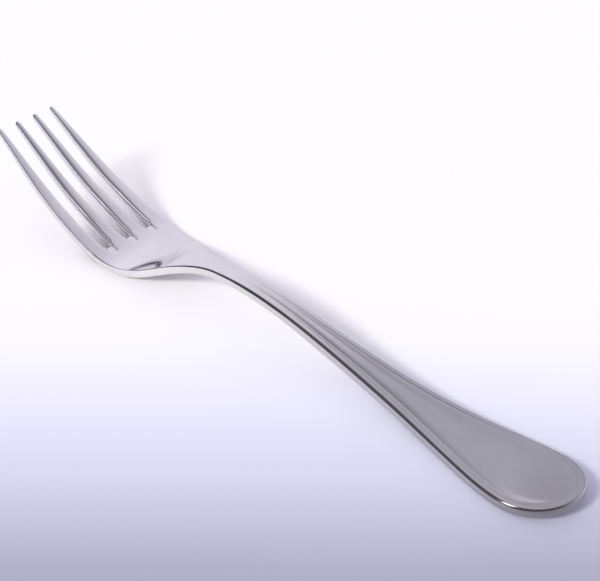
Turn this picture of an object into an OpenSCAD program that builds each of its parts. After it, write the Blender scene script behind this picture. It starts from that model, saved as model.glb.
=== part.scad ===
// Dessert fork pressed from one piece of polished stainless steel, lying on a table.
// X runs along its length with the tines towards -X, the fork is even about Y = 0,
// and the table is at Z = 0. Positions along the length are counted from the tine tips.

/* [Overall] */
// Length from the tine tips to the end of the handle
fork_length = 183; // [172:1:200]
// Radius that the edges are rounded to
edge_radius = 0.65; // [0.35:0.05:0.8]

/* [Tines] */
// Length of the slots, from the tips to the slot roots
slot_length = 41; // [37:0.5:43]
// Width of a slot between two tips
slot_tip_width = 4.4; // [4.1:0.1:4.7]
// Width of a slot at its rounded root
slot_root_width = 1.9; // [1.4:0.1:2.4]
// Distance between the middle lines of two slots at the tips
slot_tip_pitch = 5.85; // [5.65:0.05:6.1]
// Distance between the middle lines of two slots at the roots
slot_root_pitch = 6.8; // [6.4:0.05:7]
// Width of an outer tine at its tip
outer_tip_width = 1.25; // [1:0.05:1.5]
// Length of the rounding at a tine's tip
tip_round = 0.7; // [0.5:0.05:1]
// How far the rounding of a tine's edges reaches across its face
tine_edge_width = 1; // [0.5:0.05:1.2]
// Height of the underside of the tips above the table
tip_lift = 21.8; // [16:0.1:26]
// Angle at which the tips point up
tip_angle = 33; // [26:1:38]
// Place of the middle of the tines' bend
bend_at = 24; // [20:1:28]
// Height of the underside at the bend
bend_lift = 7.1; // [6:0.1:9]
// Angle of the tines at the bend
bend_angle = 23; // [19:1:26]
// Thickness at the tips
tip_thickness = 1.4; // [1.1:0.05:1.6]
// Thickness of the tines at the bend
tine_thickness = 2.15; // [1.8:0.05:2.3]

/* [Palm] */
// Slope at which the head widens from the tips, half width gained over length
head_taper = 0.11; // [0.07:0.01:0.15]
// Width of the palm at its widest place
palm_width = 24.2; // [22:0.1:27]
// Place of the widest part of the palm
palm_widest_at = 41; // [36:1:44]
// Place of the heel, where the palm touches the table
heel_at = 48; // [46:1:51]
// Thickness of the palm
palm_thickness = 2.4; // [2:0.05:2.8]
// Place of the middle of the shoulders
shoulder_at = 61; // [59:0.5:64]
// Width across the middle of the shoulders
shoulder_width = 14.9; // [13:0.1:17]
// Slope of the shoulders' outline there, half width lost over length
shoulder_slope = 0.5; // [0.4:0.02:0.6]
// Height of the underside at the shoulders
shoulder_lift = 3.4; // [2.5:0.1:4.5]
// Angle at which the shoulders rise
shoulder_angle = 24.7; // [18:0.1:28]

/* [Neck and stem] */
// Place of the narrowest part of the neck
neck_at = 77; // [74:1:82]
// Width of the neck
neck_width = 5.5; // [4.9:0.1:7]
// Place of the highest part of the neck
crest_at = 86; // [83:1:92]
// Height of the underside at the crest
crest_lift = 8.7; // [6:0.1:11]
// Place of the middle of the stem
stem_at = 122; // [116:1:128]
// Height of the underside in the middle of the stem
stem_lift = 4.3; // [3:0.1:5.5]
// Angle at which the stem comes down there
stem_angle = 9; // [6:0.5:12]
// Thickness of the stem
stem_thickness = 2.9; // [2.4:0.05:3.3]

/* [Handle] */
// Length from the start of the flare to the end
flare_length = 49; // [44:1:54]
// Width at the start of the flare
flare_width = 9.6; // [8:0.1:11]
// Slope of the outline at the start of the flare, half width gained over length
flare_slope = 0.105; // [0.07:0.005:0.14]
// Length from the middle of the swell to the end
swell_length = 26; // [22:1:30]
// Width in the middle of the swell
swell_width = 16.9; // [14:0.1:18]
// Slope of the outline in the middle of the swell, half width gained over length
swell_slope = 0.19; // [0.14:0.01:0.24]
// Width of the handle at its widest place
handle_width = 20.5; // [18.5:0.1:23]
// Length of the rounded end, from the widest place
end_length = 12; // [9:0.5:14]
// Thickness of the handle
handle_thickness = 2.4; // [2:0.05:2.8]
// Distance from the end to the place where the handle touches the table
rest_length = 17; // [14:1:20]
// Height of the underside of the end
end_lift = 2.5; // [0.5:0.1:4]
// Angle at which the end turns up
end_angle = 17; // [6:1:22]

/* [Border] */
// Width of the raised border along the edge of the stem and handle
border_width = 2; // [1.6:0.05:2.2]
// Width of the step from the border down to the field
border_step = 0.4; // [0.2:0.05:0.6]
// Height of the border above the edge of the field
border_height = 0.2; // [0.05:0.05:0.4]
// Depth of the hollow in the middle of the field
field_depth = 0.2; // [0:0.05:0.4]
// Length over which the border rises out of the neck
border_run_in = 24; // [12:1:32]

/* [Hidden] */
steel = [0.80, 0.80, 0.83];

// Distance between cross sections, and the step used to measure slopes
section_step = 1.5;
slope_step = 0.1;
// Distances and weights of the averaging that evens out the side profile
softening_places = [-4, -2, 0, 2, 4];
softening_weights = [0.0625, 0.25, 0.375, 0.25, 0.0625];
// How much faster than on average the tines thicken at their tips
tip_thickening = 2;
// Cross sections around a rounded end
end_sections = 12;
tip_sections = 4;
root_sections = 3;
// Places across a rounded edge, as shares of its radius, and across half the field
edge_shares = [0, 0.12, 0.4, 1];
field_shares = [-0.5, 0, 0.5];
// The most that the edge rounding takes of the thickness and of a tine's width
thickness_share = 0.42;
width_share = 0.34;
// Share of the edge rounding that is left at a slot's root
root_rounding_share = 0.1;

flare_at = fork_length - flare_length;
swell_at = fork_length - swell_length;
end_at = fork_length - end_length;
rest_at = fork_length - rest_length;
slot_root_radius = slot_root_width / 2;
slot_root_at = slot_length - slot_root_radius;
root_fade_length = 2 * slot_root_width;
tip_half_width = slot_tip_pitch + slot_tip_width / 2 + outer_tip_width;

// Stations of the side profile, the outline and the thickness: place, value, slope
underside = [
    [0, tip_lift, -tan(tip_angle)],
    [bend_at, bend_lift, -tan(bend_angle)],
    [heel_at, 0, 0],
    [shoulder_at, shoulder_lift, tan(shoulder_angle)],
    [crest_at, crest_lift, 0],
    [stem_at, stem_lift, -tan(stem_angle)],
    [rest_at, 0, 0],
    [fork_length, end_lift, tan(end_angle)],
];
outline = [
    [0, tip_half_width, head_taper],
    [palm_widest_at, palm_width / 2, 0],
    [shoulder_at, shoulder_width / 2, -shoulder_slope],
    [neck_at, neck_width / 2, 0],
    [flare_at, flare_width / 2, flare_slope],
    [swell_at, swell_width / 2, swell_slope],
    [end_at, handle_width / 2, 0],
];
thicknesses = [
    [0, tip_thickness, tip_thickening * (tine_thickness - tip_thickness) / bend_at],
    [bend_at, tine_thickness, 0],
    [heel_at, palm_thickness, 0],
    [(crest_at + stem_at) / 2, stem_thickness, 0],
    [rest_at, handle_thickness, 0],
];

// Smooth curve through stations, straight beyond the first and the last one
function along(s, x) =
    let (last = s[len(s) - 1])
    x <= s[0][0] ? s[0][1] + (x - s[0][0]) * s[0][2] :
    x >= last[0] ? last[1] + (x - last[0]) * last[2] :
    let (
        k = max([for (j = [0:len(s) - 2]) if (s[j][0] <= x) j]),
        a = s[k],
        b = s[k + 1],
        h = b[0] - a[0],
        u = (x - a[0]) / h
    )
    (a[1] * (1 + 2 * u) + h * a[2] * u) * (1 - u) ^ 2 + (b[1] * (3 - 2 * u) + h * b[2] * (u - 1)) * u ^ 2;

// The side profile, averaged over a short length so that its bends run into each other
function softened(x) = softening_weights * [for (d = softening_places) along(underside, x + d)];
table = min([for (x = [0:slope_step:fork_length]) softened(x)]);

function bottom(x) = softened(x) - table;
function bottom_slope(x) = (softened(x + slope_step) - softened(x - slope_step)) / (2 * slope_step);
function upright_thickness(x) = along(thicknesses, x) * sqrt(1 + bottom_slope(x) ^ 2);
function top(x) = bottom(x) + upright_thickness(x);
function half_width(x) = along(outline, x);
function width_slope(x) = (half_width(x + slope_step) - half_width(x - slope_step)) / (2 * slope_step);

function limit(x) = min(max(x, 0), 1);
function ease(u) = let (v = limit(u)) v * v * (3 - 2 * v);
function border(x) = ease((x - crest_at) / border_run_in);

// Edge rounding at a place, and how far it lowers the face at a distance from the edge
function rounding(x) = min(edge_radius, thickness_share * upright_thickness(x));
function drop(d, r) = d >= r ? 0 : r - sqrt(r ^ 2 - (r - d) ^ 2);
function oval_drop(d, reach, r) = drop(d / reach * r, r);

// A column of a cross section is [x, y, lowering of the top face, raising of the underside]
function top_point(c) = [c[0] - fork_length / 2, c[1], top(c[0]) - c[2]];
function bottom_point(c) = [c[0] - fork_length / 2, c[1], bottom(c[0]) + c[3]];
function ring(tops, bottoms) = concat(
    [for (c = tops) top_point(c)],
    [for (i = [len(bottoms) - 1:-1:0]) bottom_point(bottoms[i])]
);

// A point at distance d inside the rounded end of an ellipse with half axes a and b,
// at an angle that turns from the side (0) to the end (90)
function end_place(a, b, angle, d) =
    let (
        n = [sin(angle) / a, cos(angle) / b],
        inward = -n / norm(n)
    )
    [a * sin(angle), b * cos(angle)] + d * inward;

// Lowering of the top face at a distance from the edge, with the border's step,
// and in the field at a share of its half width
function edge_relief(x, d, r) =
    drop(d, r) + (d < border_width ? 0 : border_height * border(x));
function field_relief(x, share) =
    (border_height + field_depth * (1 - share ^ 2)) * border(x);

// Distances from the edge of the columns at one side of the palm, neck, stem and handle
function edge_insets(reach) = [for (s = edge_shares) s * reach];
function side_insets(r) = concat(edge_insets(r), [border_width - border_step, border_width]);

// Half of a cross section of the body, from its edge inwards, as [x, y, distance] places
function body_side(x, insets) =
    let (lean = sqrt(1 + width_slope(x) ^ 2))
    [for (d = insets) [x, half_width(x) - d * lean, d]];
function end_side(angle, insets) =
    [for (d = insets)
        let (p = end_place(end_length, handle_width / 2, angle, d))
        [end_at + p[0], p[1], d]];

function mirrored(columns) = [for (i = [len(columns) - 1:-1:0]) let (c = columns[i]) [c[0], -c[1], c[2], c[3]]];
function side_tops(places, r) =
    [for (p = places) [p[0], -p[1], edge_relief(p[0], p[2], r), 0]];
function side_bottoms(places, r) =
    [for (p = places) [p[0], -p[1], 0, drop(p[2], r)]];
function field_tops(place) =
    [for (s = field_shares) [place[0], s * place[1], field_relief(place[0], s), 0]];

function body_ring(tops, bottoms, r) =
    let (
        left = side_tops(tops, r),
        under = side_bottoms(bottoms, r)
    )
    ring(
        concat(left, field_tops(tops[len(tops) - 1]), mirrored(left)),
        concat(under, mirrored(under))
    );
function body_section(x) =
    let (r = rounding(x))
    body_ring(body_side(x, side_insets(r)), body_side(x, edge_insets(r)), r);
function end_section(angle) =
    let (r = rounding(end_at))
    body_ring(end_side(angle, side_insets(r)), end_side(angle, edge_insets(r)), r);

// Places of cross sections from one place to another, both included
function places(from, to) =
    let (n = ceil(abs(to - from) / section_step))
    [for (i = [0:n]) from + (to - from) * i / n];

// Half the width of a slot, its middle line, and the two sides of a tine,
// counted from the tine nearest to -Y
function slot_half(x) =
    x < slot_root_at
        ? slot_tip_width / 2 + (slot_root_radius - slot_tip_width / 2) * x / slot_root_at
        : sqrt(max(slot_root_radius ^ 2 - (x - slot_root_at) ^ 2, 0));
function slot_pitch(x) = slot_tip_pitch + (slot_root_pitch - slot_tip_pitch) * x / slot_length;
function tine_low(k, x) = k == 1 ? -half_width(x) : (k - 3) * slot_pitch(x) + slot_half(x);
function tine_high(k, x) = k == 4 ? half_width(x) : (k - 2) * slot_pitch(x) - slot_half(x);

// The rounding along a slot nearly runs out towards its root
function slot_fade(x) = max(limit((slot_length - x) / root_fade_length), root_rounding_share);
function tine_reach(k, x) = min(tine_edge_width, width_share * (tine_high(k, x) - tine_low(k, x)));

// Columns of a tine from its +Y side to its -Y side, so that its sections run to the tips
function tine_columns(k, x) =
    let (
        r = rounding(x),
        reach = tine_reach(k, x),
        high_fade = k == 4 ? 1 : slot_fade(x),
        low_fade = k == 1 ? 1 : slot_fade(x),
        high = [for (d = edge_insets(reach)) [x, tine_high(k, x) - d, oval_drop(d, reach, r) * high_fade]],
        low = [for (d = edge_insets(reach)) [x, tine_low(k, x) + d, oval_drop(d, reach, r) * low_fade]]
    )
    concat(high, [for (i = [len(low) - 1:-1:0]) low[i]]);
function tip_columns(k, angle) =
    let (
        r = rounding(tip_round),
        reach = tine_reach(k, tip_round),
        half = (tine_high(k, tip_round) - tine_low(k, tip_round)) / 2,
        middle = (tine_high(k, tip_round) + tine_low(k, tip_round)) / 2,
        high = [for (d = edge_insets(reach))
            let (p = end_place(tip_round, half, angle, d))
            [tip_round - p[0], p[1], oval_drop(d, reach, r)]],
        low = [for (i = [len(high) - 1:-1:0]) [high[i][0], -high[i][1], high[i][2]]]
    )
    [for (c = concat(high, low)) [c[0], middle + c[1], c[2]]];
function tine_ring(columns) =
    let (c = [for (p = columns) [p[0], p[1], p[2], p[2]]])
    ring(c, c);

// Two triangles between two rows of points, without those that have no area
function strip(a, b) = [
    for (i = [0:len(a) - 1])
        let (j = (i + 1) % len(a))
        for (t = [[a[i], b[j], b[i]], [a[i], a[j], b[j]]])
            if (t[0] != t[1] && t[1] != t[2] && t[2] != t[0]) t
];
function numbers(row, count) = [for (i = [0:count - 1]) row * count + i];

// The first ring of a solid as a face that looks away from the next one
function start_face(count) = [for (i = [0:count - 1]) (count - i) % count];

// Solid through rings of points, flat at its first and last ring
module loft(rings) {
    count = len(rings[0]);
    last = len(rings) - 1;
    finish = numbers(last, count);
    polyhedron(
        points = [for (r = rings) each r],
        faces = concat(
            [start_face(count), finish],
            [for (i = [0:last - 1]) each strip(numbers(i, count), numbers(i + 1, count))]
        )
    );
}

// Solid through rings of points whose last ring is folded flat: the number of the point
// that each of its places takes is in fold
module closed_loft(rings, fold) {
    count = len(rings[0]);
    last = len(rings) - 1;
    finish = [for (i = fold) last * count + i];
    polyhedron(
        points = [for (r = rings) each r],
        faces = concat(
            [start_face(count)],
            [for (i = [0:last - 1])
                each strip(numbers(i, count), i + 1 == last ? finish : numbers(i + 1, count))]
        )
    );
}

// Which point each place of a folded ring takes: the far side takes the near side's points
function fold_side(sides, fields, offset) = concat(
    [for (i = [0:sides - 1]) offset + i],
    fields == 0 ? [] : [for (i = [1:fields]) offset + sides - 1],
    [for (i = [sides - 1:-1:0]) offset + i]
);
function ring_fold(top_sides, fields, bottom_sides) = concat(
    fold_side(top_sides, fields, 0),
    fold_side(bottom_sides, 0, 2 * top_sides + fields)
);

module tine(k) {
    roots = [for (i = [root_sections:-1:1]) slot_root_at + slot_root_radius * sin(90 * i / root_sections)];
    shafts = places(slot_root_at, tip_round);
    sections = [for (x = concat(roots, shafts)) tine_ring(tine_columns(k, x))];
    tips = [for (i = [1:tip_sections]) tine_ring(tip_columns(k, 90 * i / tip_sections))];
    edges = len(edge_shares);
    closed_loft(concat(sections, tips), ring_fold(edges, 0, edges));
}

module tine_1() { color(steel) tine(1); }
module tine_2() { color(steel) tine(2); }
module tine_3() { color(steel) tine(3); }
module tine_4() { color(steel) tine(4); }

module palm() {
    color(steel) loft([for (x = places(slot_length, shoulder_at)) body_section(x)]);
}

module neck() {
    color(steel) loft([for (x = places(shoulder_at, crest_at)) body_section(x)]);
}

module stem() {
    color(steel) loft([for (x = places(crest_at, flare_at)) body_section(x)]);
}

module handle() {
    grip = [for (x = places(flare_at, end_at)) body_section(x)];
    rounded = [for (i = [1:end_sections]) end_section(90 * i / end_sections)];
    edges = len(edge_shares);
    color(steel)
        closed_loft(concat(grip, rounded), ring_fold(edges + 2, len(field_shares), edges));
}

tine_1();
tine_2();
tine_3();
tine_4();
palm();
neck();
stem();
handle();
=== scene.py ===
"""Dessert fork of polished stainless steel, lying on a pale table.

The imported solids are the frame. Each one is replaced by a dense skin of the same shape with truly rounded
edges, worn slot roots, crowned tines and the fine border of the handle. Lengths in the shape code are
millimetres, and x is counted from the tine tips; they become metres of the row frame when a mesh is made.
"""

import bpy
import numpy as np
from mathutils import Matrix, Vector


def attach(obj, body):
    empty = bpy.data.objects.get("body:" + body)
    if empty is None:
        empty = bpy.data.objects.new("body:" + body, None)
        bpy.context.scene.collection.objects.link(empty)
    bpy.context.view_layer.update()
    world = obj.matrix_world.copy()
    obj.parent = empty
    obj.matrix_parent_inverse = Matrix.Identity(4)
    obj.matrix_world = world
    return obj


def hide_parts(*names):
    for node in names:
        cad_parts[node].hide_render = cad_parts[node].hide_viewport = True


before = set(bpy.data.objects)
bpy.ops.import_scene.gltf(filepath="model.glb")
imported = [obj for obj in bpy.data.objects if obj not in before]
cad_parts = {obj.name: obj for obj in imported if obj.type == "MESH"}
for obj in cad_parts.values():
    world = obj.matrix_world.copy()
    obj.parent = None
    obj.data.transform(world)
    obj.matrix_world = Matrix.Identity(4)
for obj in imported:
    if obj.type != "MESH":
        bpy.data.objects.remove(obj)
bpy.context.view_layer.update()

MM = 0.001
UP = Vector((0, 0, 1))


def tan(degrees):
    return np.tan(np.radians(degrees))


# Shape of the fork: place along the length, value there, slope there
LENGTH = 183.0
SIDE = [
    (0, 21.8, -tan(33)), (24, 7.1, -tan(23)), (48, 0, 0), (61, 3.4, tan(24.7)),
    (86, 8.7, 0), (122, 4.3, -tan(9)), (166, 0, 0), (183, 2.5, tan(17)),
]
OUTLINE = [
    (0, 9.3, 0.11), (41, 12.1, 0), (61, 7.45, -0.5), (77, 2.75, 0),
    (134, 4.8, 0.105), (157, 8.45, 0.19), (171, 10.25, 0),
]
THICKNESS = [(0, 1.4, 0.0625), (24, 2.15, 0), (48, 2.4, 0), (104, 2.9, 0), (166, 2.4, 0)]

# The side curve is a weighted mean over near places: distance along the length, weight
SOFTENING = [(-4, 0.0625), (-2, 0.25), (0, 0.375), (2, 0.25), (4, 0.0625)]
SLOPE_STEP = 0.1

# Places where one piece ends and the next starts
SLOT_END, SHOULDER, CREST, FLARE, ROUND_START = 41.0, 61.0, 86.0, 134.0, 171.0

# Handle: its rounded end, and the spread that makes it wider on the far side by twice this value
END_LENGTH, END_HALF_WIDTH = 12.0, 10.45
SPREAD = [(90, 0, 0), (115, 0.2, 0)]

# Tines are counted from -Y and have a low and a high side; slots are counted from the middle one
TINES = 4
FIRST_TINE, INNER_TINE, LAST_TINE = 0, 2, 3
LOW_SIDE, HIGH_SIDE = 0, 1
OUTER_SIDES = ((FIRST_TINE, LOW_SIDE), (LAST_TINE, HIGH_SIDE))
SLOTS = (-1, 0, 1)

# Slots between the tines, and the worn hollow that each one runs out in
SLOT_TIP_WIDTH, SLOT_ROOT_WIDTH = 4.4, 1.9
SLOT_TIP_PITCH, SLOT_ROOT_PITCH = 5.85, 6.8
ROOT_RADIUS = SLOT_ROOT_WIDTH / 2
ROOT_CENTRE = SLOT_END - ROOT_RADIUS
HOLLOW_CENTRE, HOLLOW_DEPTH, HOLLOW_END_DEPTH = 43.25, 0.38, 0.12
HOLLOW_FLOOR, HOLLOW_RADIUS = 0.7, 1.4

# Edges: reach across the face, depth down the wall and power of the rounding, along the length
OUTER_REACH = [
    (0, 0.3, 0), (24, 0.36, 0), (41, 0.34, 0), (52, 0.16, 0), (60, 0.2, 0),
    (72, 0.42, 0), (100, 0.5, 0), (150, 0.62, 0), (166, 0.62, 0), (180, 0.45, 0),
]
OUTER_DEPTH = [
    (0, 0.3, 0), (24, 0.45, 0), (41, 0.38, 0), (52, 0.16, 0),
    (60, 0.22, 0), (72, 0.48, 0), (100, 0.7, 0), (150, 1.15, 0),
]
OUTER_POWER = [(41, 2.0, 0), (90, 1.35, 0)]
SLOT_REACH = [(0, 0.36, 0), (16, 0.65, 0), (36, 0.68, 0)]
SLOT_DEPTH = [(0, 0.45, 0), (34, 1.25, 0)]
SLOT_POWER = [(16, 2.0, 0), (34, 1.25, 0)]
UNDER_EDGE = [(61, 0.6, 0), (76, 1.0, 0), (96, 1.0, 0), (115, 0.6, 0)]

# Largest share of the thickness that an upper and a lower edge take, and largest share of a tine's width
DEPTH_SHARE, UNDER_SHARE, WIDTH_SHARE = 0.52, 0.36, 0.3

# Crown of each tine: share of half the width, and its highest place from low side (-1) to high side (1)
CROWNS = [(0.04, -1.0), (0.09, 0.0), (0.09, 0.0), (0.09, 0.0)]
CROWN_FULL_TO, CROWN_NONE_FROM = 28.0, 40.0
TIP_LENGTH = 0.8

# Border of the handle: a rim along the edge, a groove, and a field that rises from it
BORDER_FROM, BORDER_FULL = 80.0, 100.0
RIM_END, GROOVE_FROM = 1.3, 1.8
GROOVE_DEPTH = [(150, 0.07, 0), (170, 0.02, 0)]
FIELD_FROM = [(112, 2.0, 0), (140, 2.5, 0)]
FIELD_RUN = [(112, 1.3, 0), (140, 1.6, 0)]
FIELD_RISE = [(112, 0.13, 0), (150, 0.1, 0), (166, 0.1, 0), (180, 0.04, 0)]
FIELD_CROWN = [(112, 0.02, 0), (150, 0.1, 0), (170, 0, 0)]
NARROWEST_FIELD = 0.2

# Columns of points across the fork: shares of an edge or a rim, or distances from the edge
EDGE_SHARES = 1 - np.sin(np.radians([90, 78, 66, 54, 42, 30, 16, 0]))
HOLLOW_PLACES = np.array([0, 0.3, 0.6, 0.75, 0.9, 1.05, 1.2, 1.4])
HOLLOW_BLEND = 1.5
STRIP_INNER = 4
RIM_SHARES = np.array([0.3, 0.6, 0.85])
STEP_PLACES = [0.95, 1.2, 1.3, 1.4, 1.5, 1.6, 1.7, 1.8, 2.1, 2.4, 2.5, 2.65, 2.85, 3.1, 3.4]

# Largest share of half the width from the edge to the field, rows on a wall, and numbers of columns
STEP_SHARE = 0.8
WALL_ROWS = 3
HEAD_COUNT = TINES * (2 * len(EDGE_SHARES) + STRIP_INNER) - (TINES - 1)
FIELD_COUNT = (HEAD_COUNT + 1) // 2 - len(EDGE_SHARES) - len(RIM_SHARES) - len(STEP_PLACES)

# Rings along the fork: their number at the tips, the slot roots and the end, and the steps between the others
TIP_RINGS, ROOT_RINGS, END_RINGS = 10, 13, 40
SHAFT_STEP, SLOT_STEP, SLOT_STEP_FROM = 0.5, 0.25, 36.0
HOLLOW_STEP, PALM_STEP, NECK_STEP, STEM_STEP, HANDLE_STEP = 0.16, 0.4, 0.4, 0.6, 0.6

# Where the columns of the palm change from those of the tines to those of the body
BLEND_FROM, BLEND_TO = 47.0, 60.0

# Grid in metres on which equal points become one, and the least length that a normal is divided by
MERGE_GRID = 1e-8
SMALLEST_NORMAL = 1e-20


# Curves along the length
def along(stations, x):
    """Smooth curve through stations, straight beyond the first and the last one."""
    x = np.asarray(x, float)
    given = np.array(stations, float)
    first, last = given[0], given[-1]
    number = np.clip(np.searchsorted(given[:, 0], x, side="right") - 1, 0, len(given) - 2)
    start, end = given[number], given[number + 1]
    run = end[..., 0] - start[..., 0]
    u = (x - start[..., 0]) / run
    leaving = (start[..., 1] * (1 + 2 * u) + run * start[..., 2] * u) * (1 - u) ** 2
    arriving = (end[..., 1] * (3 - 2 * u) + run * end[..., 2] * (u - 1)) * u ** 2
    before = first[1] + (x - first[0]) * first[2]
    after = last[1] + (x - last[0]) * last[2]
    return np.where(x < first[0], before, np.where(x > last[0], after, leaving + arriving))


def held(stations, x):
    """Smooth curve through stations, level beyond the first and the last one."""
    return along(stations, np.clip(x, stations[0][0], stations[-1][0]))


def ease(u):
    """Smooth step from 0 to 1."""
    u = np.clip(u, 0, 1)
    return u * u * (3 - 2 * u)


def slope_of(curve, x):
    return (curve(x + SLOPE_STEP) - curve(x - SLOPE_STEP)) / (2 * SLOPE_STEP)


def softened(x):
    return sum(weight * along(SIDE, x + shift) for shift, weight in SOFTENING)


LOWEST = softened(np.arange(0, LENGTH, SLOPE_STEP)).min()


def bottom(x):
    return softened(x) - LOWEST


def upright_thickness(x):
    return along(THICKNESS, x) * np.sqrt(1 + slope_of(softened, x) ** 2)


def top(x):
    return bottom(x) + upright_thickness(x)


def half_width(x):
    return along(OUTLINE, x) + held(SPREAD, x)


def outline_distance(x, y):
    """Distance from the outer edge, before the rounded end."""
    return (half_width(x) - np.abs(y)) / np.sqrt(1 + slope_of(half_width, x) ** 2)


# Rounded edges
def round_off(share, power=2.0):
    """How much of its depth a rounded edge lowers the face, at a share of the edge's reach."""
    u = 1 - np.clip(share, 0, 1)
    return 1 - np.maximum(1 - u ** power, 0) ** (1 / power)


def edge_depth(stations, x):
    return np.minimum(held(stations, x), DEPTH_SHARE * upright_thickness(x))


def under_rise(x, d):
    """How much the rounded lower edge lifts the underside, at a distance from the edge."""
    reach = held(UNDER_EDGE, x)
    return np.minimum(reach, UNDER_SHARE * upright_thickness(x)) * round_off(d / reach)


# Tines and the palm
def slot_half(x):
    straight = SLOT_TIP_WIDTH / 2 + (ROOT_RADIUS - SLOT_TIP_WIDTH / 2) * x / ROOT_CENTRE
    rounded = np.sqrt(np.maximum(ROOT_RADIUS ** 2 - (x - ROOT_CENTRE) ** 2, 0))
    return np.where(x < ROOT_CENTRE, straight, rounded)


def slot_pitch(x):
    return SLOT_TIP_PITCH + (SLOT_ROOT_PITCH - SLOT_TIP_PITCH) * np.minimum(x / SLOT_END, 1)


def tine_sides(k, x):
    """The two sides of tine k; behind the slots they are the slots' middle lines."""
    low = -half_width(x) if k == FIRST_TINE else (k - 2) * slot_pitch(x) + slot_half(x)
    high = half_width(x) if k == LAST_TINE else (k - 1) * slot_pitch(x) - slot_half(x)
    return low, high


def side_reach(k, side, x):
    """How far the rounding reaches in from a side of tine k."""
    low, high = tine_sides(k, x)
    stations = OUTER_REACH if (k, side) in OUTER_SIDES else SLOT_REACH
    return np.minimum(held(stations, x), WIDTH_SHARE * (high - low))


def side_places(k, side, x):
    """Distances from a side of the columns next to it, spread over the hollow behind a slot."""
    places = EDGE_SHARES * side_reach(k, side, x)
    if (k, side) in OUTER_SIDES:
        return places
    return places + (HOLLOW_PLACES - places) * ease((x - ROOT_CENTRE) / HOLLOW_BLEND)


def tine_columns(k, x):
    """Places across a tine, close together at its two edges."""
    low, high = tine_sides(k, x)
    left = low + side_places(k, LOW_SIDE, x)
    right = (high - side_places(k, HIGH_SIDE, x))[::-1]
    inner = np.linspace(left[-1], right[0], STRIP_INNER + 2)[1:-1]
    return np.concatenate([left, inner, right])


def head_columns(x):
    """Places across the whole head behind the slots: four strips that share their borders."""
    strips = [tine_columns(k, x) for k in range(TINES)]
    return np.concatenate([strips[0]] + [s[1:] for s in strips[1:]])


def from_slot(x, y):
    """Distance from the nearest slot, its share of the rounding, and the depth of the hollow."""
    off = np.min([np.abs(y - k * slot_pitch(x)) for k in SLOTS], axis=0)
    if x < ROOT_CENTRE:
        out = np.maximum(off - slot_half(x), 0)
    else:
        out = np.maximum(np.hypot(x - ROOT_CENTRE, off) - ROOT_RADIUS, 0)
    outer_reach = side_reach(LAST_TINE, LOW_SIDE, x)
    inner_reach = side_reach(INNER_TINE, LOW_SIDE, x)
    reach = np.where(np.abs(y) > slot_pitch(x), outer_reach, inner_reach)
    run = np.clip((x - SLOT_END) / (HOLLOW_CENTRE - SLOT_END), 0, 1)
    floor = HOLLOW_DEPTH + (HOLLOW_END_DEPTH - HOLLOW_DEPTH) * run
    aside = np.hypot(max(x - HOLLOW_CENTRE, 0), off)
    hollow = floor * (1 - ease((aside - HOLLOW_FLOOR) / (HOLLOW_RADIUS - HOLLOW_FLOOR)))
    return out, out / reach, hollow * ease((x - ROOT_CENTRE) / (SLOT_END - ROOT_CENTRE))


def crown_drop(k, across):
    """How far the crown of tine k falls off at a place across it, as a share of half its width."""
    share, highest = CROWNS[k]
    return share * (across - highest) ** 2


def crown(k, x, y):
    low, high = tine_sides(k, x)
    across = (2 * y - low - high) / (high - low)
    fade = 1 - ease((x - CROWN_FULL_TO) / (CROWN_NONE_FROM - CROWN_FULL_TO))
    return (high - low) / 2 * crown_drop(k, across) * fade


def head_faces(x, y):
    """Heights of the top and the underside across the tines and the palm."""
    out, share, hollow = from_slot(x, y)
    edge = outline_distance(x, y)
    reach = side_reach(LAST_TINE, HIGH_SIDE, x) if x < SLOT_END else held(OUTER_REACH, x)
    outer = edge_depth(OUTER_DEPTH, x) * round_off(edge / reach, held(OUTER_POWER, x))
    inner = np.maximum(edge_depth(SLOT_DEPTH, x) * round_off(share, held(SLOT_POWER, x)), hollow)
    return top(x) - np.maximum(outer, inner), bottom(x) + under_rise(x, np.minimum(out, edge))


# Neck, stem and handle
def both_sides(right):
    """A row of places from the edge to the middle, with its mirror image before it."""
    return np.concatenate([-right, right[-2::-1]])


def body_insets(x):
    """Distances from the edge of the columns in the rounding, on the rim and over the border's step."""
    reach = held(OUTER_REACH, x)
    rim = reach + (STEP_PLACES[0] - reach) * RIM_SHARES
    places = np.concatenate([reach * EDGE_SHARES, rim, STEP_PLACES])
    return places * min(1, STEP_SHARE * half_width(x) / STEP_PLACES[-1])


def field_places(side):
    """Places from the border's step to the middle."""
    return side * (1 - np.arange(1, FIELD_COUNT + 1) / FIELD_COUNT)


def body_columns(x):
    """Places across the body: close together along the edge and the border, then across the field."""
    side = half_width(x) - body_insets(x) * np.sqrt(1 + slope_of(half_width, x) ** 2)
    return both_sides(np.concatenate([side, field_places(side[-1])]))


def relief(x, d):
    """How far the border's groove and the field lie below the rim."""
    border = ease((x - BORDER_FROM) / (BORDER_FULL - BORDER_FROM))
    groove = held(GROOVE_DEPTH, x) * ease((d - RIM_END) / (GROOVE_FROM - RIM_END))
    start = held(FIELD_FROM, x)
    run = np.clip((d - start) / held(FIELD_RUN, x), 0, 1)
    whole = np.clip((d - start) / np.maximum(half_width(x) - start, NARROWEST_FIELD), 0, 1)
    rise = held(FIELD_RISE, x) * run * (2 - run) + held(FIELD_CROWN, x) * whole * (2 - whole)
    return border * (groove - rise)


def body_faces(x, d):
    """Heights of the top and the underside at a distance from the edge."""
    low = edge_depth(OUTER_DEPTH, x) * round_off(d / held(OUTER_REACH, x), held(OUTER_POWER, x))
    return top(x) - low - relief(x, d), bottom(x) + under_rise(x, d)


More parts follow.
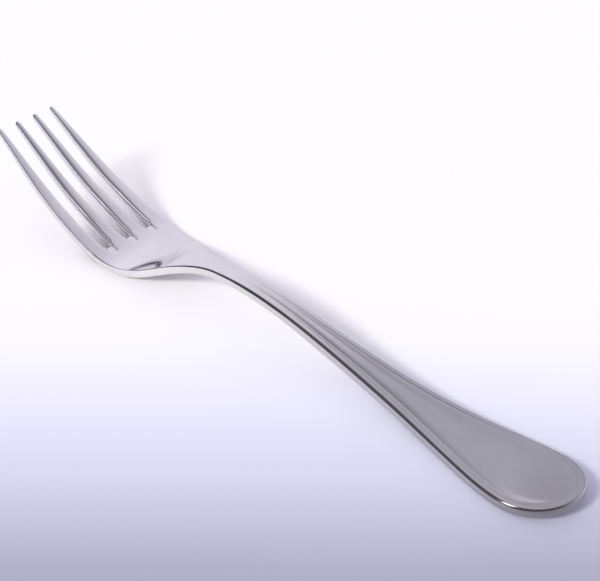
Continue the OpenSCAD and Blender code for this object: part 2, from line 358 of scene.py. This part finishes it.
def end_place(length, half, angle, d):
    """A point at distance d inside the end of an ellipse, at an angle from the side (0) to the end (90)."""
    s, c = np.sin(np.radians(angle)), np.cos(np.radians(angle))
    n = np.hypot(s / length, c / half)
    return length * s - d * s / length / n, half * c - d * c / half / n


def end_distance(px, y):
    """Distance from the rounded end's edge, for places well inside it."""
    share = np.hypot(px / END_LENGTH, y / END_HALF_WIDTH)
    return (1 - share) * share / np.hypot(px / END_LENGTH ** 2, y / END_HALF_WIDTH ** 2)


# Rings of points round the cross sections, from the tips to the end of the handle
def ring(x, y, high, low):
    """Top from -Y to +Y, down the wall, underside back, up the wall."""
    x = np.broadcast_to(x, y.shape)
    over = np.stack([x, y, high], -1)
    under = np.stack([x, y, low], -1)
    rows = (np.arange(1, WALL_ROWS + 1) / (WALL_ROWS + 1))[:, None]
    down = over[-1] + (under[-1] - over[-1]) * rows
    up = under[0] + (over[0] - under[0]) * rows
    return np.concatenate([over, down, under[::-1], up])


def tip_ring(k, angle):
    low, high = tine_sides(k, TIP_LENGTH)
    half, middle = (high - low) / 2, (high + low) / 2
    reach = WIDTH_SHARE * 2 * half
    d = EDGE_SHARES * reach
    px, py = end_place(TIP_LENGTH, half, angle, d)
    inner = np.linspace(-py[-1], py[-1], STRIP_INNER + 2)[1:-1]
    x = TIP_LENGTH - np.concatenate([px, np.full(STRIP_INNER, px[-1]), px[::-1]])
    y = np.concatenate([-py, inner, py[::-1]])
    d = np.concatenate([d, reach + py[-1] - np.abs(inner), d[::-1]])
    depth = edge_depth(OUTER_DEPTH if k in (FIRST_TINE, LAST_TINE) else SLOT_DEPTH, x)
    lower = depth * round_off(d / reach) + half * crown_drop(k, y / half)
    return ring(x, middle + y, top(x) - lower, bottom(x) + under_rise(x, d))


def tine_ring(k, x):
    y = tine_columns(k, x)
    high, low = head_faces(x, y)
    return ring(x, y, high - crown(k, x, y), low)


def palm_ring(x):
    w = ease((x - BLEND_FROM) / (BLEND_TO - BLEND_FROM))
    y = (1 - w) * head_columns(x) + w * body_columns(x)
    return ring(x, y, *head_faces(x, y))


def body_ring(x):
    y = body_columns(x)
    return ring(x, y, *body_faces(x, outline_distance(x, y)))


def end_ring(angle):
    d = body_insets(ROUND_START)
    px, py = end_place(END_LENGTH, END_HALF_WIDTH, angle, d)
    field = field_places(py[-1])
    d = np.concatenate([d, end_distance(px[-1], field)])
    px = np.concatenate([px, np.full(FIELD_COUNT, px[-1])])
    y = both_sides(np.concatenate([py, field]))
    x = ROUND_START + np.concatenate([px, px[-2::-1]])
    d = np.concatenate([d, d[-2::-1]])
    return ring(x, y, *body_faces(x, d))


def steps(start, end, step):
    """Even places from start to end, no more than a step apart."""
    return np.linspace(start, end, int(np.ceil((end - start) / step)) + 1)


def tine_rings(k):
    angles = 90 * (1 - np.arange(TIP_RINGS) / TIP_RINGS)
    shaft = steps(TIP_LENGTH, SLOT_STEP_FROM, SHAFT_STEP)[:-1]
    slot = steps(SLOT_STEP_FROM, ROOT_CENTRE, SLOT_STEP)[:-1]
    root = ROOT_CENTRE + ROOT_RADIUS * np.sin(np.radians(np.linspace(0, 90, ROOT_RINGS)))
    return [tip_ring(k, a) for a in angles] + [tine_ring(k, x) for x in [*shaft, *slot, *root]]


def palm_rings():
    hollows = steps(SLOT_END, BLEND_FROM, HOLLOW_STEP)[:-1]
    return [palm_ring(x) for x in [*hollows, *steps(BLEND_FROM, SHOULDER, PALM_STEP)]]


def handle_rings():
    grip = [body_ring(x) for x in steps(FLARE, ROUND_START, HANDLE_STEP)]
    return grip + [end_ring(90 * (i + 1) / END_RINGS) for i in range(END_RINGS)]


PIECES = {f"tine_{k + 1}": tine_rings(k) for k in range(TINES)}
PIECES["palm"] = palm_rings()
PIECES["neck"] = [body_ring(x) for x in steps(SHOULDER, CREST, NECK_STEP)]
PIECES["stem"] = [body_ring(x) for x in steps(CREST, FLARE, STEM_STEP)]
PIECES["handle"] = handle_rings()


# One skin for the whole fork, so that its normals run on from piece to piece
def strip(a, b):
    """Faces between two rings of point numbers, without those that are folded to a line."""
    made = []
    for i in range(len(a)):
        j = (i + 1) % len(a)
        face = list(dict.fromkeys([a[i], b[i], b[j], a[j]]))
        if len(face) > 2:
            made.append(face)
    return made


def cap(numbers, facing):
    """The flat cross section that closes a piece, looking along +X (1) or -X (-1)."""
    n = (len(numbers) - 2 * WALL_ROWS) // 2
    over, down = numbers[:n], numbers[n:n + WALL_ROWS]
    under, up = numbers[n + WALL_ROWS:2 * n + WALL_ROWS][::-1], numbers[2 * n + WALL_ROWS:]
    faces = [[over[i], over[i + 1], under[i + 1], under[i]] for i in range(n - 1)]
    faces[0] = [over[0], over[1], under[1], under[0], *up]
    faces[-1] = [over[-2], over[-1], *down, under[-1], under[-2]]
    return [f[::-1] for f in faces] if facing > 0 else faces


def merged(pieces):
    """Shared points in metres of the row frame, and the rings of each piece as numbers of these points."""
    points = np.concatenate([r for rings in pieces.values() for r in rings])
    points[:, 1] += held(SPREAD, points[:, 0])
    points = (points - [LENGTH / 2, 0, 0]) * MM
    grid = np.round(points / MERGE_GRID).astype(np.int64)
    _, first, back = np.unique(grid, axis=0, return_index=True, return_inverse=True)
    back = back.ravel()
    numbered, start = {}, 0
    for name, rings in pieces.items():
        numbered[name] = []
        for r in rings:
            numbered[name].append(back[start:start + len(r)].tolist())
            start += len(r)
    return points[first], numbered


def vertex_normals(points, faces):
    normals = np.zeros_like(points)
    for f in faces:
        p = points[f]
        normals[f] += np.cross(p[2] - p[0], p[-1] - p[1])
    return normals / np.maximum(np.linalg.norm(normals, axis=1, keepdims=True), SMALLEST_NORMAL)


def add_mesh(name, points, faces, material):
    """An object with a new mesh of one material."""
    mesh = bpy.data.meshes.new(name)
    mesh.from_pydata(points, [], faces)
    mesh.materials.append(material)
    made = bpy.data.objects.new(name, mesh)
    bpy.context.scene.collection.objects.link(made)
    return made


def add_square(name, corners, material):
    return add_mesh(name, [tuple(c) for c in corners], [(0, 1, 2, 3)], material)


def add_skin(name, points, faces, normals, material):
    """A smooth mesh of the points that its faces use, with a normal for each corner of each face."""
    used = sorted({i for f in faces for i in f})
    place = {p: i for i, p in enumerate(used)}
    made = add_mesh(name, points[used].tolist(), [[place[i] for i in f] for f in faces], material)
    made.data.polygons.foreach_set("use_smooth", [True] * len(made.data.polygons))
    made.data.normals_split_custom_set(normals)
    made.data.update()
    return made


def build_fork(material):
    points, numbered = merged(PIECES)
    skins = {
        name: [f for a, b in zip(rings, rings[1:]) for f in strip(a, b)]
        for name, rings in numbered.items()
    }
    normals = vertex_normals(points, [f for faces in skins.values() for f in faces])
    for name, rings in numbered.items():
        faces = list(skins[name])
        corner_normals = [tuple(normals[i]) for f in faces for i in f]
        ends = []
        if not name.startswith("tine"):
            ends.append((rings[0], -1))
        if name != "handle":
            ends.append((rings[-1], 1))
        for numbers, facing in ends:
            closing = cap(numbers, facing)
            faces += closing
            corner_normals += [(facing, 0, 0)] * sum(len(f) for f in closing)
        made = add_skin(name + "_skin", points, faces, corner_normals, material)
        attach(made, "root")
        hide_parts(name)


# Node helpers
MIX_SOCKETS = {"FLOAT": (2, 3, 0), "RGBA": (6, 7, 2)}


def empty_tree(owner):
    """The node tree of a material or world, without nodes."""
    owner.use_nodes = True
    owner.node_tree.nodes.clear()
    return owner.node_tree


def add_node(tree, kind, inputs=(), **settings):
    """A node with its settings; inputs are (socket, value or output socket) pairs."""
    made = tree.nodes.new(kind)
    for name, value in settings.items():
        setattr(made, name, value)
    for socket, value in inputs:
        if isinstance(value, bpy.types.NodeSocket):
            tree.links.new(value, made.inputs[socket])
        else:
            made.inputs[socket].default_value = value
    return made


def add_ramp(tree, factor, stops):
    """Colour from a ramp; stops are (position, colour) pairs."""
    made = add_node(tree, "ShaderNodeValToRGB", [("Fac", factor)])
    elements = made.color_ramp.elements
    while len(elements) < len(stops):
        elements.new(0.5)
    for element, (position, colour) in zip(elements, stops):
        element.position = position
        element.color = (*colour, 1)
    return made.outputs["Color"]


def add_range(tree, value, span, results=(0.0, 1.0), **settings):
    """A value's place in a span, as a number between the two results."""
    inputs = [
        ("Value", value), ("From Min", span[0]), ("From Max", span[1]),
        ("To Min", results[0]), ("To Max", results[1]),
    ]
    return add_node(tree, "ShaderNodeMapRange", inputs, **settings).outputs["Result"]


def add_math(tree, operation, *values, **settings):
    made = add_node(tree, "ShaderNodeMath", enumerate(values), operation=operation, **settings)
    return made.outputs["Value"]


def add_vector_math(tree, operation, *values):
    made = add_node(tree, "ShaderNodeVectorMath", enumerate(values), operation=operation)
    return made.outputs["Value"]


def add_mix(tree, kind, factor, first, second):
    """A mix of two numbers (FLOAT) or two colours (RGBA)."""
    first_socket, second_socket, result = MIX_SOCKETS[kind]
    inputs = [(0, factor), (first_socket, first), (second_socket, second)]
    return add_node(tree, "ShaderNodeMix", inputs, data_type=kind).outputs[result]


def direction(azimuth, elevation):
    a, e = np.radians(azimuth), np.radians(elevation)
    return Vector((np.cos(a) * np.cos(e), np.sin(a) * np.cos(e), np.sin(e)))


# Steel: polished faces with a cloudy gloss and a fine grain, and duller walls with painted light and shade
# along the length
CLOUD_SCALE, CLOUD_DETAIL, CLOUD_ROUGHNESS = 110.0, 6.0, 0.65
CLOUD_SPAN = (0.3, 0.7)
FACE_ROUGHNESS = (0.05, 0.11)
FACE_TINTS = [(0.78, 0.77, 0.79), (0.84, 0.83, 0.85)]
GRAIN_STRETCH, GRAIN_SCALE, GRAIN_DETAIL = (60.0, 900.0, 900.0), 1.0, 4.0
GRAIN_STRENGTH, GRAIN_HEIGHT = 0.03, 0.00005

# Walls: upward part of the normal where the wall ends and the face starts, and painted light and shade along
# the length
WALL_LEVEL = (0.25, 0.6)
WALL_ROUGHNESS = 0.16
WALL_SPAN = (-0.090, 0.090)
WALL_PAINTED_SHADES = [
    (0.00, (0.74, 0.72, 0.78)), (0.20, (0.78, 0.765, 0.805)), (0.31, (0.87, 0.86, 0.875)),
    (0.40, (0.80, 0.785, 0.79)), (0.567, (0.68, 0.665, 0.655)), (0.80, (0.56, 0.54, 0.53)),
    (0.907, (0.56, 0.54, 0.52)), (1.00, (0.40, 0.38, 0.355)),
]


def steel_material():
    material = bpy.data.materials.new("polished_steel")
    tree = empty_tree(material)
    where = add_node(tree, "ShaderNodeTexCoord")
    place = where.outputs["Object"]
    cloud = add_node(
        tree, "ShaderNodeTexNoise",
        [
            ("Vector", place), ("Scale", CLOUD_SCALE),
            ("Detail", CLOUD_DETAIL), ("Roughness", CLOUD_ROUGHNESS),
        ],
    ).outputs["Fac"]
    drawn = add_node(tree, "ShaderNodeMapping", [("Vector", place), ("Scale", GRAIN_STRETCH)])
    grain = add_node(
        tree, "ShaderNodeTexNoise",
        [("Vector", drawn.outputs["Vector"]), ("Scale", GRAIN_SCALE), ("Detail", GRAIN_DETAIL)],
    )
    facing = add_node(tree, "ShaderNodeSeparateXYZ", [("Vector", where.outputs["Normal"])])
    flat = add_range(tree, add_math(tree, "ABSOLUTE", facing.outputs["Z"]), WALL_LEVEL)
    gloss = add_range(tree, cloud, CLOUD_SPAN, FACE_ROUGHNESS)
    tint = add_ramp(tree, cloud, list(zip(CLOUD_SPAN, FACE_TINTS)))
    length = add_node(tree, "ShaderNodeSeparateXYZ", [("Vector", place)])
    # Wall colour: painted light and shade, lighter and darker along the length for what the walls mirror
    wall = add_ramp(tree, add_range(tree, length.outputs["X"], WALL_SPAN), WALL_PAINTED_SHADES)
    bump = add_node(
        tree, "ShaderNodeBump",
        [("Height", grain.outputs["Fac"]), ("Strength", GRAIN_STRENGTH), ("Distance", GRAIN_HEIGHT)],
    )
    shader = add_node(
        tree, "ShaderNodeBsdfPrincipled",
        [
            ("Base Color", add_mix(tree, "RGBA", flat, wall, tint)), ("Metallic", 1.0),
            ("Roughness", add_mix(tree, "FLOAT", flat, WALL_ROUGHNESS, gloss)),
            ("Normal", bump.outputs["Normal"]),
        ],
    )
    add_node(tree, "ShaderNodeOutputMaterial", [("Surface", shader.outputs["BSDF"])])
    return material


# Table: a painted falloff of light, white at the back and darker to a bluish grey at the front
TABLE_REACH = 3.0
TABLE_ROUGHNESS, TABLE_SPECULAR = 0.8, 0.1
TABLE_FRONT = Vector((0.685, -0.728, 0.0))
TABLE_SPAN = (-0.150, 0.120)
TABLE_PAINTED_FALLOFF = [
    (0.00, (0.985, 0.97, 0.995)), (0.38, (0.995, 0.978, 0.99)), (0.50, (0.995, 0.978, 0.985)),
    (0.58, (0.965, 0.96, 0.975)), (0.66, (0.86, 0.857, 0.965)), (0.75, (0.70, 0.697, 0.822)),
    (0.84, (0.445, 0.45, 0.55)), (1.00, (0.22, 0.22, 0.275)),
]
WHITE_SPAN = (-0.150, -0.030)
WHITE = (0.99, 0.975, 1.0)


def table_material():
    material = bpy.data.materials.new("pale_table")
    tree = empty_tree(material)
    place = add_node(tree, "ShaderNodeTexCoord").outputs["Object"]
    reach = add_vector_math(tree, "DOT_PRODUCT", place, TABLE_FRONT)
    # Base colour is a painted falloff of light, from white at the back to bluish grey at the front
    shader = add_node(
        tree, "ShaderNodeBsdfPrincipled",
        [
            ("Base Color", add_ramp(tree, add_range(tree, reach, TABLE_SPAN), TABLE_PAINTED_FALLOFF)),
            ("Roughness", TABLE_ROUGHNESS), ("Specular IOR Level", TABLE_SPECULAR),
        ],
    )
    white = add_range(tree, reach, WHITE_SPAN, (1.0, 0.0))
    path = add_node(tree, "ShaderNodeLightPath").outputs
    seen = add_math(tree, "ADD", path["Is Camera Ray"], path["Is Glossy Ray"])
    seen = add_math(tree, "ADD", seen, path["Is Transmission Ray"], use_clamp=True)
    glow = add_node(tree, "ShaderNodeEmission", [("Color", (*WHITE, 1)), ("Strength", 1.0)])
    both = add_node(
        tree, "ShaderNodeMixShader",
        [
            (0, add_math(tree, "MULTIPLY", seen, white)),
            (1, shader.outputs["BSDF"]), (2, glow.outputs["Emission"]),
        ],
    )
    add_node(tree, "ShaderNodeOutputMaterial", [("Surface", both.outputs["Shader"])])
    return material


def add_table():
    around = [(-1, -1), (1, -1), (1, 1), (-1, 1)]
    corners = [(x * TABLE_REACH, y * TABLE_REACH, 0) for x, y in around]
    made = add_square("table", corners, table_material())


# Room: plain light from all round, and broad patches that only the steel mirrors
PLAIN_LIGHT = (0.668, 0.652, 0.75)
ROOM = (0.27, 0.265, 0.285)
PATCHES = [
    # azimuth, elevation, degrees of full strength, degrees of none, colour
    (215, 8, 32, 62, (0.09, 0.088, 0.094)),
    (262, 8, 32, 62, (0.09, 0.088, 0.094)),
    (312, 8, 32, 62, (0.09, 0.088, 0.094)),
    (180, 50, 6, 24, (0.55, 0.52, 0.58)),
]


def add_room():
    world = bpy.data.worlds.new("room")
    bpy.context.scene.world = world
    tree = empty_tree(world)
    place = add_node(tree, "ShaderNodeTexCoord").outputs["Generated"]
    colour = (*ROOM, 1)
    for azimuth, elevation, full, none, shade in PATCHES:
        near = add_vector_math(tree, "DOT_PRODUCT", place, direction(azimuth, elevation))
        span = np.cos(np.radians([none, full]))
        share = add_range(tree, near, span, interpolation_type="SMOOTHSTEP")
        colour = add_mix(tree, "RGBA", share, colour, (*shade, 1))
    mirrored = add_node(tree, "ShaderNodeBackground", [("Color", colour)])
    plain = add_node(tree, "ShaderNodeBackground", [("Color", (*PLAIN_LIGHT, 1))])
    path = add_node(tree, "ShaderNodeLightPath")
    both = add_node(
        tree, "ShaderNodeMixShader",
        [
            (0, path.outputs["Is Glossy Ray"]),
            (1, plain.outputs["Background"]), (2, mirrored.outputs["Background"]),
        ],
    )
    add_node(tree, "ShaderNodeOutputWorld", [("Surface", both.outputs["Shader"])])


# Glowing card, no lamp, seen only in the steel: its shades are painted reflections
# Large card behind the fork: its place, and shades along it that lean and are bent at one height
CARD_BEHIND = 0.105
CARD_LEFT, CARD_RIGHT, CARD_HEIGHT = -0.60, 0.40, 0.50
CARD_BEND, CARD_SPREAD = 0.12, 0.55
CARD_ACROSS, CARD_SPAN = (1.0, 0.0, -0.2), (-0.244, 0.106)
CARD_SHADES = [
    (0.00, (0.92, 0.865, 0.985)), (0.20, (0.84, 0.793, 0.913)), (0.37, (0.782, 0.74, 0.845)),
    (0.50, (0.72, 0.685, 0.775)), (0.55, (0.68, 0.648, 0.73)), (0.585, (0.595, 0.575, 0.655)),
    (0.615, (0.50, 0.485, 0.56)), (0.66, (0.455, 0.445, 0.515)), (0.77, (0.41, 0.40, 0.465)),
    (1.00, (0.31, 0.305, 0.355)),
]

# Strength of the large card: share of its height and level, and a soft dim spot that paints shade into the
# reflection on the handle's end
CARD_LEVELS = [(0.00, 1.03), (0.25, 1.0), (0.40, 0.80), (0.60, 0.55), (0.90, 0.30)]
CARD_DIM_AT, CARD_DIM_RADIUS, CARD_DIM_LEVEL = (-0.018, 0.105, 0.098), 0.055, 0.75

# Painted dark reflection along the far rim of the handle
# Low dark card before the large one: its place, where its shade changes, and the two shades
RIM_CARD_BEHIND, RIM_CARD_HEIGHT = 0.1045, 0.048
RIM_CARD_LEFT, RIM_CARD_RIGHT = -0.050, 0.110
RIM_CARD_AXIS, RIM_CARD_SPAN, RIM_CARD_PAINTED_SHADES = (1.0, 0.0, 0.0), (-0.050, 0.015), (0.47, 0.15)

# Colour of every card but the large one
SMALL_CARD_COLOUR = (0.95, 0.91, 1.0)

# Small cards: middle, point that they face, width, height and shade
SMALL_CARDS = {
    # Painted highlight on the near edge of the handle's end
    "glint_card": ((0.0649, -0.0510, 0.0255), (0.0810, -0.0102, 0.0023), 0.014, 0.030, 2.2),
    # Painted highlight lines along the tines' edges and at the crest
    "line_card": ((-0.1060, -0.1000, 0.0710), (-0.0680, 0.0, 0.0100), 0.040, 0.028, 2.2),
    # Painted dark reflection on the tines and the palm's near edge
    "flag_painted_shade_card": ((-0.0580, -0.0750, 0.0600), (0.0, -0.0750, 0.0600), 0.100, 0.120, 0.07),
}

# Cards just above the table: corners, direction in which the shade changes, where it does, and the two shades
FLAT_CARD_HEIGHT = 0.0004
FLAT_CARDS = {
    # Painted shadow under the slot roots, mirrored in the slot walls
    "slot_painted_shadow_card": (
        [(-0.0660, -0.0125), (-0.0500, -0.0125), (-0.0500, 0.0100), (-0.0660, 0.0100)],
        (1.0, 0.0, 0.0), (-0.0660, -0.0500), (0.90, 0.10),
    ),
    # Painted reflection with a grey streak, mirrored on the palm's rise
    "palm_painted_streak_card": (
        [(-0.2058, 0.0938), (-0.0901, 0.0204), (-0.0751, 0.0440), (-0.1908, 0.1174)],
        (0.536, 0.844, 0.0), (-0.0236, -0.0121), (0.58, 0.86),
    ),
    # Painted shadow on the table behind the handle, mirrored in its far edge
    "far_painted_shadow_card": (
        [(0.0200, 0.0075), (0.0850, 0.0125), (0.0850, 0.0900), (0.0200, 0.0900)],
        (0.0, 1.0, 0.0), (0.0075, 0.0900), (0.15, 0.25),
    ),
}


def glow_surface(tree, colour, strength):
    """A surface that only glows; colour and strength are values or output sockets."""
    glow = add_node(tree, "ShaderNodeEmission", [("Color", colour), ("Strength", strength)])
    add_node(tree, "ShaderNodeOutputMaterial", [("Surface", glow.outputs["Emission"])])


def large_card_material():
    material = bpy.data.materials.new("card")
    tree = empty_tree(material)
    place = add_node(tree, "ShaderNodeTexCoord").outputs["Object"]
    up = add_node(tree, "ShaderNodeSeparateXYZ", [("Vector", place)]).outputs["Z"]
    across = add_vector_math(tree, "DOT_PRODUCT", place, CARD_ACROSS)
    off = add_math(tree, "ABSOLUTE", add_math(tree, "SUBTRACT", up, CARD_BEND))
    bent = add_math(tree, "MULTIPLY_ADD", off, CARD_SPREAD, across)
    shade = add_ramp(tree, add_range(tree, bent, CARD_SPAN), CARD_SHADES)
    height = add_range(tree, up, (0.0, CARD_HEIGHT))
    level = add_ramp(tree, height, [(at, (v, v, v)) for at, v in CARD_LEVELS])
    # Soft dim spot: painted shade in the reflection on the handle's end
    away = add_vector_math(tree, "DISTANCE", place, CARD_DIM_AT)
    dim = add_range(
        tree, away, (0.0, CARD_DIM_RADIUS), (CARD_DIM_LEVEL, 1.0), interpolation_type="SMOOTHSTEP",
    )
    glow_surface(tree, shade, add_math(tree, "MULTIPLY", level, dim))
    return material


def plain_card_material(name, shade):
    material = bpy.data.materials.new(name)
    glow_surface(empty_tree(material), (*SMALL_CARD_COLOUR, 1), shade)
    return material


def graded_card_material(name, axis, span, shades):
    """A glow that changes along an axis from the first shade to the second."""
    material = bpy.data.materials.new(name)
    tree = empty_tree(material)
    place = add_node(tree, "ShaderNodeTexCoord").outputs["Object"]
    reach = add_vector_math(tree, "DOT_PRODUCT", place, axis)
    glow_surface(tree, (*SMALL_CARD_COLOUR, 1), add_range(tree, reach, span, shades))
    return material


def add_card(name, corners, material):
    """A glowing card, no lamp, that only the steel mirrors: a painted reflection."""
    made = add_square(name, corners, material)
    made.visible_camera = False
    made.visible_diffuse = False
    made.visible_shadow = False


def standing(left, right, behind, height):
    """Corners of a card that stands on the table behind the fork."""
    return [(left, behind, 0), (right, behind, 0), (right, behind, height), (left, behind, height)]


def facing_corners(middle, target, width, height):
    """Corners of a card that faces a point."""
    middle = Vector(middle)
    towards = (Vector(target) - middle).normalized()
    side = towards.cross(UP).normalized() * width / 2
    rise = side.cross(towards).normalized() * height / 2
    return [middle - side - rise, middle + side - rise, middle + side + rise, middle - side + rise]


def add_cards():
    corners = standing(CARD_LEFT, CARD_RIGHT, CARD_BEHIND, CARD_HEIGHT)
    add_card("card", corners, large_card_material())
    # Low card: painted dark reflection along the far rim
    corners = standing(RIM_CARD_LEFT, RIM_CARD_RIGHT, RIM_CARD_BEHIND, RIM_CARD_HEIGHT)
    material = graded_card_material("rim_painted_shade_card", RIM_CARD_AXIS, RIM_CARD_SPAN, RIM_CARD_PAINTED_SHADES)
    add_card("rim_painted_shade_card", corners, material)
    for name, (middle, target, width, height, shade) in SMALL_CARDS.items():
        corners = facing_corners(middle, target, width, height)
        add_card(name, corners, plain_card_material(name, shade))
    for name, (around, axis, span, shades) in FLAT_CARDS.items():
        corners = [(x, y, FLAT_CARD_HEIGHT) for x, y in around]
        add_card(name, corners, graded_card_material(name, axis, span, shades))


# One soft sun
SUN_FROM = (262, 38)
SUN_POWER, SUN_ANGLE = 1.80, 13.0
SUN_COLOUR = (1.0, 1.0, 0.92)


def add_sun():
    data = bpy.data.lights.new("sun", "SUN")
    data.energy = SUN_POWER
    data.color = SUN_COLOUR
    data.angle = np.radians(SUN_ANGLE)
    made = bpy.data.objects.new("sun", data)
    made.rotation_euler = direction(*SUN_FROM).to_track_quat("Z", "Y").to_euler()
    made.visible_glossy = False
    bpy.context.scene.collection.objects.link(made)


# Camera at the photograph's viewing angle
CAMERA_LENS, CAMERA_SENSOR = 75.0, 36.0
CAMERA_BACK = Vector((0.5507, -0.5842, 0.5963)).normalized()
CAMERA_AT = Vector((0.1731, -0.1700, 0.1907))
CAMERA_ROLL = 0.14
CAMERA_NEAR, CAMERA_FAR = 0.01, 20.0


def add_camera():
    data = bpy.data.cameras.new("camera")
    data.lens = CAMERA_LENS
    data.sensor_width = CAMERA_SENSOR
    data.clip_start, data.clip_end = CAMERA_NEAR, CAMERA_FAR
    right = UP.cross(CAMERA_BACK).normalized()
    up = CAMERA_BACK.cross(right)
    c, s = np.cos(np.radians(CAMERA_ROLL)), np.sin(np.radians(CAMERA_ROLL))
    right, up = c * right + s * up, c * up - s * right
    made = bpy.data.objects.new("camera", data)
    made.matrix_world = Matrix((right, up, CAMERA_BACK)).transposed().to_4x4()
    made.location = CAMERA_AT
    bpy.context.scene.collection.objects.link(made)
    bpy.context.scene.camera = made


build_fork(steel_material())
add_table()
add_room()
add_cards()
add_sun()
add_camera()
bpy.context.scene.view_settings.view_transform = "Standard"
